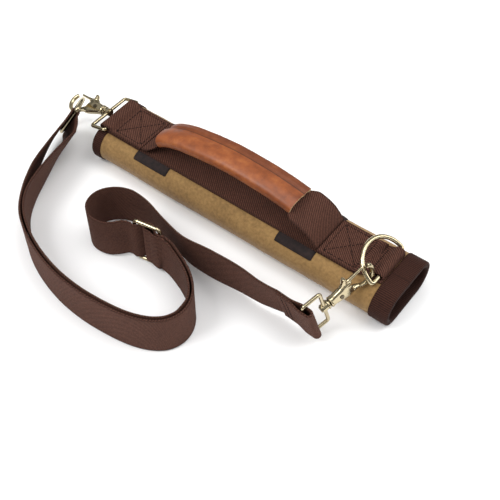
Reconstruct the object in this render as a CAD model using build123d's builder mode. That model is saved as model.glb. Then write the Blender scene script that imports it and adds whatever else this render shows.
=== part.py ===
from build123d import *
import os
import math

# A padded canvas carrying sleeve with a webbing and leather handle on top, and a shoulder strap
# that lies on the ground beside it. A snap hook at the tail holds the strap's D-ring, and the
# strap's own snap hook is at the D-ring by the mouth.
# Millimetres. +X runs along the sleeve from the tail to the mouth, +Y across it, +Z up.
# The origin is the centre of the sleeve's flat underside.

os.makedirs("parts", exist_ok=True)

# ---------------------------------------------------------------- driving dimensions
TAIL_X = -145.0
MOUTH_X = 143.0
HALF_W = 30.0              # canvas outside, half width
HALF_H = 14.5              # canvas outside, half height
BIND_PROUD = 1.0           # edge tape thickness outside the canvas
BIND_INSIDE = 0.8          # edge tape thickness inside the lining
BIND_EDGE = 0.8            # edge tape thickness past the raw edge
TAIL_BIND_W = 8.0
MOUTH_BIND_W = 15.0
CANVAS_T = 1.0
STIFF_T = 1.5
LINING_T = 0.7
GAP = 0.05                 # clearance between neighbouring layers
WEB_W = 38.0               # webbing of the sleeve, handle and strap
WEB_T = 1.3
STRAP_T = 1.5
EYE_WIRE_R = 1.5           # snap hook eye wire
RING_R = 1.8               # D-ring wire

AXIS_Z = HALF_H + BIND_PROUD
TOP_Z = AXIS_Z + HALF_H
BASE_TOP = TOP_Z + GAP + WEB_T
LOWER_Z = BASE_TOP + GAP + WEB_T / 2     # mid height of the first anchor layer
UPPER_Z = LOWER_Z + WEB_T + GAP          # mid height of the second anchor layer

Y_DIR = (0.0, 1.0, 0.0)
UP = (0.0, 0.0, 1.0)


# ---------------------------------------------------------------- vectors
def shifted(point, direction, distance):
    return tuple(p + distance * d for p, d in zip(point, direction))


def dot(first, second):
    return sum(a * b for a, b in zip(first, second))


def unit(vector):
    length = math.sqrt(dot(vector, vector))
    return tuple(c / length for c in vector)


def cross(first, second):
    return (
        first[1] * second[2] - first[2] * second[1],
        first[2] * second[0] - first[0] * second[2],
        first[0] * second[1] - first[1] * second[0],
    )


def square(vector, axis):
    """Unit vector made from vector, perpendicular to axis."""
    along = unit(axis)
    return unit(shifted(vector, along, -dot(vector, along)))


def plane_across(origin, axis, distance):
    """Plane square to an axis, at a distance along it."""
    return Plane(origin=shifted(origin, axis, distance), z_dir=axis)


# ---------------------------------------------------------------- curves
def neighbours(points, i):
    """Points before and after point i, or the end point itself at an end."""
    return points[max(i - 1, 0)], points[min(i + 1, len(points) - 1)]


def ribbon_outline(path, thick):
    """Closed outline of a strip that follows a flat polyline, mitred at its bends."""
    left, right = [], []
    for i, (x, y) in enumerate(path):
        before, after = neighbours(path, i)
        run_x, run_y = after[0] - before[0], after[1] - before[1]
        length = math.hypot(run_x, run_y)
        mitre = 1.0
        if 0 < i < len(path) - 1:
            enter = (x - before[0], y - before[1])
            leave = (after[0] - x, after[1] - y)
            turn_cos = dot(enter, leave) / (math.hypot(*enter) * math.hypot(*leave))
            mitre = 1.0 / max(0.5, math.sqrt(max(0.0, (1 + turn_cos) / 2)))
        side_x = -run_y / length * thick / 2 * mitre
        side_y = run_x / length * thick / 2 * mitre
        left.append((x + side_x, y + side_y))
        right.append((x - side_x, y - side_y))
    return left + right[::-1]


def offset_curve(path, distance):
    """Flat path moved sideways, to the left of its run."""
    moved = []
    for i, (x, y) in enumerate(path):
        before, after = neighbours(path, i)
        run_x, run_y = after[0] - before[0], after[1] - before[1]
        length = math.hypot(run_x, run_y)
        moved.append((x - run_y / length * distance, y + run_x / length * distance))
    return moved


def catmull_rom(a, b, c, d, t):
    """One coordinate between b and c, where t runs from 0 to 1."""
    return 0.5 * (
        2 * b
        + (c - a) * t
        + (2 * a - 5 * b + 4 * c - d) * t * t
        + (3 * b - a - 3 * c + d) * t ** 3
    )


def smooth(points, step=7.0):
    """Curve through tuples of any length, sampled about every step mm."""
    samples = []
    for i in range(len(points) - 1):
        start, end = points[i], points[i + 1]
        before, after = points[max(i - 1, 0)], points[min(i + 2, len(points) - 1)]
        count = max(1, int(math.dist(start[:3], end[:3]) / step + 0.5))
        for k in range(count):
            samples.append(tuple(
                catmull_rom(*values, k / count) for values in zip(before, start, end, after)
            ))
    samples.append(tuple(points[-1]))
    return samples


def arc_offsets(x, radius_x, radius_y, degrees):
    """Points round (x, 0); zero degrees is on the local Y axis."""
    return [
        (x + radius_x * math.sin(math.radians(a)), radius_y * math.cos(math.radians(a)))
        for a in degrees
    ]


# ---------------------------------------------------------------- drawing inside an open builder
def tube_section(outer, inner):
    """Sleeve section between two insets from the canvas outside."""
    with Locations((0, AXIS_Z)):
        SlotOverall(2 * (HALF_W - outer), 2 * (HALF_H - outer))
        SlotOverall(2 * (HALF_W - inner), 2 * (HALF_H - inner), mode=Mode.SUBTRACT)


def spline_band(low, high):
    """Closed outline between two curves."""
    Spline(*low)
    Line(low[-1], high[-1])
    Spline(*high[::-1])
    Line(high[0], low[0])


def rounded_loop(corners, bend):
    """Anticlockwise closed line through the corners, each rounded; starts after corner 0."""
    sides = []
    for corner, target in zip(corners, corners[1:] + corners[:1]):
        run_x, run_y = target[0] - corner[0], target[1] - corner[1]
        length = math.hypot(run_x, run_y)
        step_x, step_y = bend * run_x / length, bend * run_y / length
        sides.append((
            (corner[0] + step_x, corner[1] + step_y),
            (target[0] - step_x, target[1] - step_y),
        ))
    for (start, end), (next_start, _) in zip(sides, sides[1:] + sides[:1]):
        Line(start, end)
        RadiusArc(end, next_start, -bend)


def ribbon_part(path, width, trims=()):
    """Webbing along a path of (x, z), then cut at each (x, side to keep)."""
    with BuildPart() as ribbon:
        with BuildSketch(Plane.XZ):
            with BuildLine():
                Polyline(ribbon_outline(path, WEB_T), close=True)
            make_face()
        extrude(amount=width / 2, both=True)
        for x, keep in trims:
            split(bisect_by=Plane.YZ.offset(x), keep=keep)
    return ribbon.part


# ---------------------------------------------------------------- sleeve
STIFF_INSET = CANVAS_T + GAP
LINING_INSET = STIFF_INSET + STIFF_T + GAP
BORE_INSET = LINING_INSET + LINING_T     # inner face of the lining
STIFF_SHORT = 0.4                        # stiffener stops short of each end
LAP_W = 26.0
LAP_SHORT = 1.0                          # lap's total clearance to the two tapes
LAP_SUNK = 0.4                           # overlap of the lap with the canvas
OVERCUT = 0.001


def canvas_shell():
    lap_x0, lap_x1 = TAIL_X + TAIL_BIND_W, MOUTH_X - MOUTH_BIND_W
    with BuildPart() as shell:
        with BuildSketch(Plane.YZ.offset(TAIL_X)):
            tube_section(0.0, CANVAS_T)
        extrude(amount=MOUTH_X - TAIL_X)
        # lapped closing seam along the underside, flush with the edge tapes
        with BuildSketch(Plane.XY):
            with Locations(((lap_x0 + lap_x1) / 2, 0)):
                Rectangle(lap_x1 - lap_x0 - LAP_SHORT, LAP_W)
        extrude(amount=BIND_PROUD + LAP_SUNK)
    return shell.part


def sleeve_layer(inset, thick, short):
    """Tube inside the canvas, short of each end."""
    with BuildPart() as layer:
        with BuildSketch(Plane.YZ.offset(TAIL_X + short)):
            tube_section(inset, inset + thick)
        extrude(amount=MOUTH_X - TAIL_X - 2 * short)
    return layer.part


def binding(edge_x, width, inward):
    """Edge tape folded over a raw edge; inward is the X sign towards the sleeve's middle."""
    tape_x0, tape_x1 = sorted((edge_x - inward * BIND_EDGE, edge_x + inward * width))
    slot_x0, slot_x1 = sorted((edge_x - inward * GAP, edge_x + inward * (width + OVERCUT)))
    with BuildPart() as tape:
        with BuildSketch(Plane.YZ.offset(tape_x0)):
            tube_section(-BIND_PROUD, BORE_INSET + BIND_INSIDE)
        extrude(amount=tape_x1 - tape_x0)
        with BuildSketch(Plane.YZ.offset(slot_x0)):
            tube_section(-GAP, BORE_INSET + GAP)
        extrude(amount=slot_x1 - slot_x0, mode=Mode.SUBTRACT)
    return tape.part


# ---------------------------------------------------------------- webbing and patches on the top
BASE_X0 = TAIL_X + TAIL_BIND_W + 0.4
BASE_X1 = MOUTH_X - MOUTH_BIND_W - 0.3
# Notches beside the strap's hook: length and depth from the -Y corner at BASE_X1
BASE_NOTCH = (20.5, 3.5)
ANCHOR_NOTCHES = ((20.5, 4.5), (11.0, 6.5))
NOTCH_H = 12.0
PATCH_L = 34.0
PATCH_T = 0.9
TAIL_PATCH_X = -86.0
MOUTH_PATCH_X = 56.0
PATCH_ANGLES = range(69, 32, -6)         # degrees above horizontal, round the shoulder


def base_webbing():
    with BuildPart() as webbing:
        with BuildSketch(Plane.XY.offset(TOP_Z + GAP)):
            with Locations(((BASE_X0 + BASE_X1) / 2, 0)):
                Rectangle(BASE_X1 - BASE_X0, WEB_W)
            with Locations((BASE_X1, -WEB_W / 2)):
                Rectangle(2 * BASE_NOTCH[0], 2 * BASE_NOTCH[1], mode=Mode.SUBTRACT)
        extrude(amount=WEB_T)
    return webbing.part


def shoulder_arc(side, radius):
    """Points (y, z) round the sleeve's shoulder on one side."""
    centre_y = HALF_W - HALF_H
    points = []
    for degrees in PATCH_ANGLES:
        angle = math.radians(degrees)
        y = side * (centre_y + radius * math.cos(angle))
        points.append((y, AXIS_Z + radius * math.sin(angle)))
    return points


def patch_pair(middle_x):
    """Reinforcement patches on both shoulders, beside the webbing."""
    inner_r = HALF_H + GAP
    with BuildPart() as patches:
        for side in (-1, 1):
            outer = shoulder_arc(side, inner_r + PATCH_T)
            inner = shoulder_arc(side, inner_r)
            with BuildSketch(Plane.YZ.offset(middle_x - PATCH_L / 2)):
                with BuildLine():
                    Polyline(outer + inner[::-1], close=True)
                make_face()
            extrude(amount=PATCH_L)
    return patches.part


# ---------------------------------------------------------------- anchors
# Tail: middle of the inner bar of the snap hook's eye, and the fold of webbing round it
TAIL_EYE = (-138.0, 0.0, BASE_TOP + GAP + WEB_T + 0.1 + EYE_WIRE_R)
FOLD_X = -141.6
FOLD_R = TAIL_EYE[2] - LOWER_Z
FOLD_TOP = TAIL_EYE[2] + FOLD_R
# (x, z)
TAIL_ANCHOR_PATH = (
    [(-101.0, LOWER_Z)]
    + [(x, TAIL_EYE[2] + z) for x, z in arc_offsets(FOLD_X, -FOLD_R, -FOLD_R, range(0, 181, 20))]
    + [(-136.0, FOLD_TOP), (-134.6, FOLD_TOP - 0.35), (-132.2, UPPER_Z + 0.35),
       (-130.8, UPPER_Z), (-100.5, UPPER_Z)]
)

# Mouth: middle of the D-ring's bar, and the tunnel of webbing over it
MOUTH_RING = (123.6, 0.0, BASE_TOP + 0.15 + RING_R)
RING_Z = MOUTH_RING[2]
# (x, z)
MOUTH_ANCHOR_PATH = [
    (73.0, LOWER_Z), (116.6, LOWER_Z), (118.4, LOWER_Z + 0.5), (120.6, RING_Z + 1.55),
    (122.2, RING_Z + 2.45), (123.6, RING_Z + 2.7), (125.0, RING_Z + 2.45),
    (126.4, RING_Z + 1.3), (127.0, LOWER_Z + 0.2),
]

STITCH_L = 26.0
STITCH_HALF_W = 15.5
STITCH_LINE = 0.7
STITCH_T = 0.35
STITCH_LIFT = 0.01


def mouth_anchor():
    with BuildPart() as anchor:
        with BuildSketch(Plane.XZ):
            with BuildLine():
                Polyline(ribbon_outline(MOUTH_ANCHOR_PATH, WEB_T), close=True)
            make_face()
        extrude(amount=WEB_W / 2, both=True)
        with BuildSketch(Plane.XY.offset(TOP_Z)):
            with Locations((BASE_X1, -WEB_W / 2)):
                for length, depth in ANCHOR_NOTCHES:
                    Rectangle(2 * length, 2 * depth)
        extrude(amount=NOTCH_H, mode=Mode.SUBTRACT)
    return anchor.part


def box_stitch(x0, layer_z):
    """Sewn box with a cross in it, on top of a webbing layer."""
    x1 = x0 + STITCH_L
    inset = STITCH_LINE / 2
    end_y = STITCH_HALF_W - inset
    with BuildPart() as stitching:
        with BuildSketch(Plane.XY.offset(layer_z + WEB_T / 2 + STITCH_LIFT)):
            with Locations(((x0 + x1) / 2, 0)):
                Rectangle(STITCH_L, 2 * STITCH_HALF_W)
                Rectangle(
                    STITCH_L - 2 * STITCH_LINE,
                    2 * STITCH_HALF_W - 2 * STITCH_LINE,
                    mode=Mode.SUBTRACT,
                )
            for side in (-1, 1):
                diagonal = [(x0 + inset, -side * end_y), (x1 - inset, side * end_y)]
                with BuildLine():
                    Polyline(ribbon_outline(diagonal, STITCH_LINE), close=True)
                make_face()
        extrude(amount=STITCH_T)
    return stitching.part


# ---------------------------------------------------------------- carry handle
HANDLE_Z = UPPER_Z + 0.25
# (x, rise over HANDLE_Z) along the handle's arch
ARCH_POINTS = [
    (-99.5, 0.0), (-96.2, 0.7), (-91.2, 3.3), (-84.9, 7.2), (-77.0, 11.7), (-60.0, 17.0),
    (-25.0, 21.3), (10.0, 20.6), (32.0, 17.8), (45.5, 15.2), (56.0, 12.6), (63.5, 8.8),
    (68.6, 4.0), (71.2, 0.9), (72.6, -0.5),
]
ARCH = smooth([(x, HANDLE_Z + rise) for x, rise in ARCH_POINTS], step=4.0)
GRIP_X0, GRIP_X1 = -84.5, 44.6
LEG_GAP = 0.5              # from the grip's end to the leg
TAIL_LEG_PATH = [p for p in ARCH if p[0] < -84.0]
MOUTH_LEG_PATH = [p for p in ARCH if p[0] > 41.0]
GRIP_PATH = [p for p in ARCH if -93.0 < p[0] < 51.0]
GRIP_SPLINE_PATH = GRIP_PATH[:-1:3] + [GRIP_PATH[-1]]
FOLDED_W = 22.0            # webbing inside the leather

# Offsets from the arch, and widths across it
PADDING_LOW, PADDING_HIGH, PADDING_W = WEB_T / 2 + 0.4, WEB_T / 2 + 4.4, 21.6
LEATHER_LOW, LEATHER_HIGH, LEATHER_W = -2.9, 7.4, 28.4
POCKET_LOW, POCKET_HIGH, POCKET_W = -WEB_T / 2 - 0.4, WEB_T / 2 + 4.8, 23.0
LEATHER_ROUND = 4.0
POCKET_OVERRUN = 5.0       # pocket runs past both ends of its path


def trim_to_grip():
    split(bisect_by=Plane.YZ.offset(GRIP_X0), keep=Keep.TOP)
    split(bisect_by=Plane.YZ.offset(GRIP_X1), keep=Keep.BOTTOM)


def grip_padding():
    """Soft roll on top of the folded webbing."""
    low = offset_curve(GRIP_SPLINE_PATH, PADDING_LOW)
    high = offset_curve(GRIP_SPLINE_PATH, PADDING_HIGH)
    with BuildPart() as padding:
        with BuildSketch(Plane.XZ):
            with BuildLine():
                spline_band(low, high)
            make_face()
        extrude(amount=PADDING_W / 2, both=True)
        trim_to_grip()
    return padding.part


def pocket_outline():
    """Closed outline of the leather's pocket, run out along the lower curve's end directions."""
    low = offset_curve(GRIP_PATH, POCKET_LOW)
    high = offset_curve(GRIP_PATH, POCKET_HIGH)
    for end, inside in ((0, 1), (-1, -2)):
        outward = unit((low[end][0] - low[inside][0], low[end][1] - low[inside][1]))
        for curve in (low, high):
            curve[end] = shifted(curve[end], outward, POCKET_OVERRUN)
    return low + high[::-1]


def leather_grip():
    low = offset_curve(GRIP_SPLINE_PATH, LEATHER_LOW)
    high = offset_curve(GRIP_SPLINE_PATH, LEATHER_HIGH)
    with BuildPart() as leather:
        with BuildSketch(Plane.XZ):
            with BuildLine():
                spline_band(low, high)
            make_face()
        extrude(amount=LEATHER_W / 2, both=True)
        fillet(leather.edges().filter_by(GeomType.BSPLINE), LEATHER_ROUND)
        with BuildSketch(Plane.XZ):
            with BuildLine():
                Polyline(pocket_outline(), close=True)
            make_face()
        extrude(amount=POCKET_W / 2, both=True, mode=Mode.SUBTRACT)
        trim_to_grip()
    return leather.part


# ---------------------------------------------------------------- D-rings
RING_HALF = 20.9           # bar, half length on the wire's centre line
RING_NECK = 2.0            # corner radius between the bar and the half round
MOUTH_RING_LEAN = math.radians(35.9)
MOUTH_RING_REACH = (-math.cos(MOUTH_RING_LEAN), 0.0, math.sin(MOUTH_RING_LEAN))
# The strap's ring, in the tail hook's bow
STRAP_RING = (-179.16, -22.66, 22.0)
STRAP_RING_BAR = unit((0.5331, 0.0783, 0.8424))
STRAP_RING_REACH = square((-0.2947, 0.9505, 0.0981), STRAP_RING_BAR)


def d_ring(centre, bar, reach):
    """Wire ring of a straight bar, two rounded corners and a half round on the reach side."""
    plane = Plane(origin=centre, x_dir=bar, z_dir=cross(bar, square(reach, bar)))
    bar_end = RING_HALF - RING_NECK
    with BuildPart() as ring:
        with BuildLine(plane):
            Line((-bar_end, 0), (bar_end, 0))
            RadiusArc((bar_end, 0), (RING_HALF, RING_NECK), -RING_NECK)
            ThreePointArc(
                (RING_HALF, RING_NECK), (0, RING_NECK + RING_HALF), (-RING_HALF, RING_NECK)
            )
            RadiusArc((-RING_HALF, RING_NECK), (-bar_end, 0), -RING_NECK)
        with BuildSketch(Plane(origin=plane.from_local_coords((-bar_end, 0, 0)), z_dir=bar)):
            Circle(RING_R)
        sweep()
    return ring.part


# ---------------------------------------------------------------- swivel snap hooks
# A hook's origin is the middle of its eye's outer bar. Its axis points to the bow, and its
# normal is square to the flat of the hook. Outlines are (along the axis, across it).
EYE_HALF = 20.6            # eye, half width on the wire's centre line
EYE_DEPTH = 15.4           # inner bar to outer bar
EYE_BEND = 2.0
BOSS_L, BOSS_R = 4.8, 3.3
BOSS_BORE_L, BOSS_BORE_R = 12.0, 1.7

HOLE_ALONG = 36.2          # outer bar to the middle of the bow's hole
BOW_R = 8.7                # bow's centre line
BOW_WIRE_R = 2.0
BODY_T = 6.4
BODY_OUTLINE = [
    (6.0, -4.1), (6.0, 4.1), (12.0, 5.2), (20.5, 6.4), (23.5, 5.0), (26.8, 5.6), (30.0, 0.0),
    (30.0, -8.0), (24.5, -7.4), (16.0, -5.8),
]
# Swivel post and collars: start and end along the axis, radius
COLLARS = (
    (-2.6, 4.6, 1.6), (-3.4, -2.5, 2.7), (2.55, 4.0, 3.9), (3.9, 5.0, 3.1), (4.9, 6.4, 4.3),
)
THROAT_OUTLINE = [
    (22.6, 3.4), (22.6, 16.0), (39.2, 16.0), (39.2, 2.0), (HOLE_ALONG, 0.0), (30.6, 0.6),
]
SLOT_OUTLINE = [(10.6, -3.4), (10.6, 14.0), (32.0, 14.0), (32.0, -3.4)]
SLOT_HALF_T = 1.4
CUT_HALF = 8.0             # reach of the through cuts, each way

PIN_ALONG = 14.5           # gate pin along the axis
PIN_HOLE_R = 1.05
# Pin and its two heads: start along the normal, length, radius
PIN_DISCS = ((-3.3, 6.6, 1.02), (3.25, 0.5, 1.7), (-3.75, 0.5, 1.7))
GATE_KNUCKLE_R = 2.7
GATE_HOLE_R = 1.10
GATE_HALF_T = 1.15
GATE_OUTLINE = [
    (PIN_ALONG - 1.6, 2.0), (PIN_ALONG + 1.0, -2.4), (24.5, 2.6), (38.2, 6.7), (37.6, 9.1),
    (24.6, 6.9), (22.6, 9.6), (20.4, 9.3), (18.0, 5.4),
]
TAB_OUTLINE = [(19.6, 8.0), (24.1, 7.8), (23.0, 11.4), (20.6, 11.8)]
TAB_HALF_T = 2.4
SPRING_PATH = [(10.9, -1.6), (11.4, -2.9), (15.0, -3.1), (19.6, -2.4)]
SPRING_T = 0.35
SPRING_HALF_W = 0.9

TAIL_AXIS = unit((-0.97, 0.0, -0.243))
TAIL_NORMAL = square((0.2305, 0.3172, -0.9199), TAIL_AXIS)
TAIL_HOOK = shifted(TAIL_EYE, TAIL_AXIS, EYE_DEPTH)

STRAP_BOW = (115.89, -22.91, 39.64)      # middle of the bow's hole
STRAP_AXIS = unit((0.276, 0.9202, 0.2777))
STRAP_NORMAL = square((0.9252, -0.3327, 0.1826), STRAP_AXIS)
STRAP_HOOK = shifted(STRAP_BOW, STRAP_AXIS, -HOLE_ALONG)
STRAP_BAR = square(UP, STRAP_AXIS)
STRAP_EYE = shifted(STRAP_HOOK, STRAP_AXIS, -EYE_DEPTH)     # middle of the inner bar


def hook_eye(origin, axis, bar):
    """Rectangular wire eye with a bored boss for the swivel post."""
    plane = Plane(origin=origin, x_dir=axis, z_dir=cross(axis, bar))
    corners = [
        (0, -EYE_HALF), (0, EYE_HALF), (-EYE_DEPTH, EYE_HALF), (-EYE_DEPTH, -EYE_HALF),
    ]
    wire_start = plane.from_local_coords((0, -EYE_HALF + EYE_BEND, 0))
    with BuildPart() as eye:
        with BuildLine(plane):
            rounded_loop(corners, EYE_BEND)
        with BuildSketch(Plane(origin=wire_start, z_dir=bar)):
            Circle(EYE_WIRE_R)
        sweep()
        with BuildSketch(plane_across(origin, axis, -BOSS_L / 2)):
            Circle(BOSS_R)
        extrude(amount=BOSS_L)
        with BuildSketch(plane_across(origin, axis, -BOSS_BORE_L / 2)):
            Circle(BOSS_BORE_R)
        extrude(amount=BOSS_BORE_L, mode=Mode.SUBTRACT)
    return eye.part


def hook_body(origin, axis, normal):
    """Swivel post, collars, slotted body and bow in one casting."""
    plane = Plane(origin=origin, x_dir=axis, z_dir=normal)
    bow_centre = shifted(origin, axis, HOLE_ALONG)
    with BuildPart() as body:
        with BuildSketch(plane):
            with BuildLine():
                Polyline(*BODY_OUTLINE, close=True)
            make_face()
        extrude(amount=BODY_T / 2, both=True)
        with Locations(Plane(origin=bow_centre, x_dir=axis, z_dir=normal)):
            Torus(BOW_R, BOW_WIRE_R)
        for start, end, radius in COLLARS:
            with BuildSketch(plane_across(origin, axis, start)):
                Circle(radius)
            extrude(amount=end - start)
        # clear the bow's hole
        with BuildSketch(plane):
            with Locations((HOLE_ALONG, 0)):
                Circle(BOW_R - BOW_WIRE_R)
        extrude(amount=CUT_HALF, both=True, mode=Mode.SUBTRACT)
        # throat between the body's nose and the bow's tip, then the slot the gate works in
        for outline, half in ((THROAT_OUTLINE, CUT_HALF), (SLOT_OUTLINE, SLOT_HALF_T)):
            with BuildSketch(plane):
                with BuildLine():
                    Polyline(*outline, close=True)
                make_face()
            extrude(amount=half, both=True, mode=Mode.SUBTRACT)
        with BuildSketch(plane):
            with Locations((PIN_ALONG, 0)):
                Circle(PIN_HOLE_R)
        extrude(amount=CUT_HALF, both=True, mode=Mode.SUBTRACT)
    return body.part


def hook_gate(origin, axis, normal):
    plane = Plane(origin=origin, x_dir=axis, z_dir=normal)
    with BuildPart() as gate:
        with BuildSketch(plane):
            with Locations((PIN_ALONG, 0)):
                Circle(GATE_KNUCKLE_R)
            with BuildLine():
                Polyline(*GATE_OUTLINE, close=True)
            make_face()
            with Locations((PIN_ALONG, 0)):
                Circle(GATE_HOLE_R, mode=Mode.SUBTRACT)
        extrude(amount=GATE_HALF_T, both=True)
        # thumb tab, wider than the gate so that a thumb finds it
        with BuildSketch(plane):
            with BuildLine():
                Polyline(*TAB_OUTLINE, close=True)
            make_face()
        extrude(amount=TAB_HALF_T, both=True)
    return gate.part


def hook_pin(origin, axis, normal):
    centre = shifted(origin, axis, PIN_ALONG)
    with BuildPart() as pin:
        for start, length, radius in PIN_DISCS:
            with BuildSketch(plane_across(centre, normal, start)):
                Circle(radius)
            extrude(amount=length)
    return pin.part


def hook_spring(origin, axis, normal):
    """Flat return spring that lies in the slot behind the gate."""
    with BuildPart() as spring:
        with BuildSketch(Plane(origin=origin, x_dir=axis, z_dir=normal)):
            with BuildLine():
                Polyline(ribbon_outline(SPRING_PATH, SPRING_T), close=True)
            make_face()
        extrude(amount=SPRING_HALF_W, both=True)
    return spring.part


# ---------------------------------------------------------------- shoulder strap
# A station is a centre point and the direction of the strap's width, as six numbers.
# Offsets are (along the run, to the side of it) from a piece of hardware.
STAND_Z = 19.6             # centre height of webbing standing on edge on the ground
WIRE_CLEAR = 0.3           # between a wire and the strap round it

EYE_RUN = square((0.979, -0.026, -0.167), STRAP_BAR)
EYE_SIDE = cross(STRAP_BAR, EYE_RUN)                       # about +Y
EYE_TURN_R = EYE_WIRE_R + WIRE_CLEAR + STRAP_T / 2
EYE_TURN_X = 5.0
EYE_OFFSETS = (
    [(-24.0, -0.82), (-18.0, -0.82), (-12.0, -0.9), (-7.0, -1.7), (-3.0, -EYE_TURN_R + 0.05),
     (0.0, -EYE_TURN_R), (EYE_TURN_X, -EYE_TURN_R)]
    + arc_offsets(EYE_TURN_X, EYE_TURN_R, -EYE_TURN_R, (30, 60, 90, 120, 150))
    + [(EYE_TURN_X, EYE_TURN_R), (0.0, EYE_TURN_R), (-3.0, EYE_TURN_R - 0.05), (-7.0, 1.7),
       (-12.0, 0.9), (-18.0, 0.82), (-24.0, 0.82)]
)

# Single run from the hook's eye to the slider: x, y, rise over STAND_Z, width direction
SINGLE_RUN = [
    (60.0, -68.5, 3.0, 0.06, -0.2, 0.98), (38.0, -67.0, 0.6, 0.0, -0.12, 1.0),
    (12.0, -68.5, 0.2, 0.0, -0.08, 1.0), (-12.0, -69.0, 0.0, 0.0, -0.16, 1.0),
    (-35.0, -63.5, 0.0, 0.0, -0.2, 1.0), (-56.0, -59.0, 0.0, 0.0, -0.12, 1.0),
    (-74.0, -60.5, 0.0, 0.0, 0.0, 1.0), (-87.0, -67.5, 0.0, 0.0, 0.0, 1.0),
    (-93.5, -79.0, 0.0, 0.0, 0.0, 1.0), (-91.0, -91.5, 0.0, 0.0, 0.0, 1.0),
    (-80.0, -99.0, 0.0, 0.0, 0.0, 1.0), (-66.0, -97.5, 0.8, 0.0, 0.0, 1.0),
]

SLIDE_CENTRE = (-36.0, -83.5, 23.0)
SLIDE_RUN = unit((0.985, 0.17, 0.0))
SLIDE_SIDE = cross(UP, SLIDE_RUN)                          # about +Y
SLIDE_ENTRY = [(-19.0, -2.4)]
WEAVE_OFFSETS = [
    (-14.0, -1.6), (-11.0, -2.75), (-8.0, -1.4), (-4.5, 2.6), (-1.5, 4.35), (1.5, 4.35),
    (4.5, 2.6), (8.0, -1.4), (11.0, -2.75), (14.0, -1.9),
]
BAR_TURN_R = 2.5           # strap's end round the slider's middle bar
RETURN_OFFSETS = (
    [(14.0, -4.3), (11.0, -5.1), (7.0, -4.3), (3.5, -2.75), (1.2, -2.45)]
    + arc_offsets(0.0, -BAR_TURN_R, -BAR_TURN_R, (20, 55, 90, 125, 160))
)

# Doubled run from the slider to the strap's D-ring: x, y midway between its two layers
DOUBLE_RUN = [
    (-14.0, -84.2), (0.0, -88.6), (13.0, -95.5), (23.5, -104.5), (29.5, -115.0),
    (30.5, -126.0), (26.0, -136.5), (16.0, -144.3), (2.0, -149.6), (-16.0, -152.6),
    (-38.0, -154.0), (-61.0, -152.4), (-84.0, -147.2), (-106.0, -138.6), (-125.0, -126.8),
    (-140.5, -111.5), (-152.0, -93.0), (-160.5, -73.0),
]
LAYER_HALF_GAP = 1.5       # half distance between the two layers
DOUBLE_START_RISE = 1.6
END_SPREAD = {len(DOUBLE_RUN) - 2: 1.6, len(DOUBLE_RUN) - 1: 3.4}    # extra, by station
LEAN_STEP = 0.12           # width leans to +X over the last three stations

RING_RUN = square(STRAP_RING_REACH, STRAP_RING_BAR)
RING_SIDE = cross(RING_RUN, STRAP_RING_BAR)                # about +X
RING_TURN_R = RING_R + WIRE_CLEAR + STRAP_T / 2
RING_OFFSETS = (
    [(-18.0, 8.0), (-9.0, 5.8), (-3.0, RING_TURN_R), (0.0, RING_TURN_R)]
    + arc_offsets(0.0, RING_TURN_R, RING_TURN_R, (30, 60, 90, 120, 150))
    + [(0.0, -RING_TURN_R), (-3.0, -RING_TURN_R), (-8.0, -3.0), (-16.0, -3.8)]
)


def stations_at(centre, run, side, width_dir, offsets):
    return [
        shifted(shifted(centre, run, along), side, across) + width_dir
        for along, across in offsets
    ]


def slider_stations(offsets):
    return stations_at(SLIDE_CENTRE, SLIDE_RUN, SLIDE_SIDE, UP, offsets)


def double_layer(sign):
    """One layer of the doubled run; +1 lies to the right of its run, -1 to the left."""
    layer = []
    for i, (x, y) in enumerate(DOUBLE_RUN):
        before, after = neighbours(DOUBLE_RUN, i)
        run_x, run_y = after[0] - before[0], after[1] - before[1]
        length = math.hypot(run_x, run_y)
        reach = sign * (LAYER_HALF_GAP + END_SPREAD.get(i, 0.0))
        lean = LEAN_STEP * max(0, i - (len(DOUBLE_RUN) - 4))
        z = STAND_Z + (DOUBLE_START_RISE if i == 0 else 0.0)
        layer.append((x + reach * run_y / length, y - reach * run_x / length, z, lean, 0.0, 1.0))
    return layer


def strap_stations():
    """Hook's eye, slider, D-ring, and back to the slider's middle bar."""
    eye_loop = stations_at(STRAP_EYE, EYE_RUN, EYE_SIDE, STRAP_BAR, EYE_OFFSETS)
    single = [(x, y, STAND_Z + rise, *wide) for x, y, rise, *wide in SINGLE_RUN]
    single = smooth([eye_loop[-1]] + single + slider_stations(SLIDE_ENTRY))
    weave = slider_stations(WEAVE_OFFSETS)
    ring_loop = stations_at(STRAP_RING, RING_RUN, RING_SIDE, STRAP_RING_BAR, RING_OFFSETS)
    ring_loop.reverse()
    back = slider_stations(RETURN_OFFSETS)
    outbound = smooth([weave[-1]] + double_layer(-1) + [ring_loop[0]])[1:-1]
    homeward = smooth([ring_loop[-1]] + double_layer(+1)[::-1] + [back[0]])[1:-1]
    return eye_loop[:-1] + single + weave + outbound + ring_loop + homeward + back


def shoulder_strap():
    stations = strap_stations()
    with BuildPart() as strap:
        for i, station in enumerate(stations):
            before, after = neighbours(stations, i)
            run = unit(shifted(after[:3], before[:3], -1.0))
            wide = square(station[3:], run)
            with BuildSketch(Plane(origin=station[:3], x_dir=wide, z_dir=run)):
                Rectangle(WEB_W, STRAP_T)
        loft(ruled=True)
    return strap.part


# ---------------------------------------------------------------- strap slider
SLIDER_HALF_L = 11.0
SLIDER_HALF_H = 21.2
SLIDER_BEND = 3.0
SLIDER_WIRE_R = 1.5
SLIDER_BAR_R = 1.4


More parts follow.
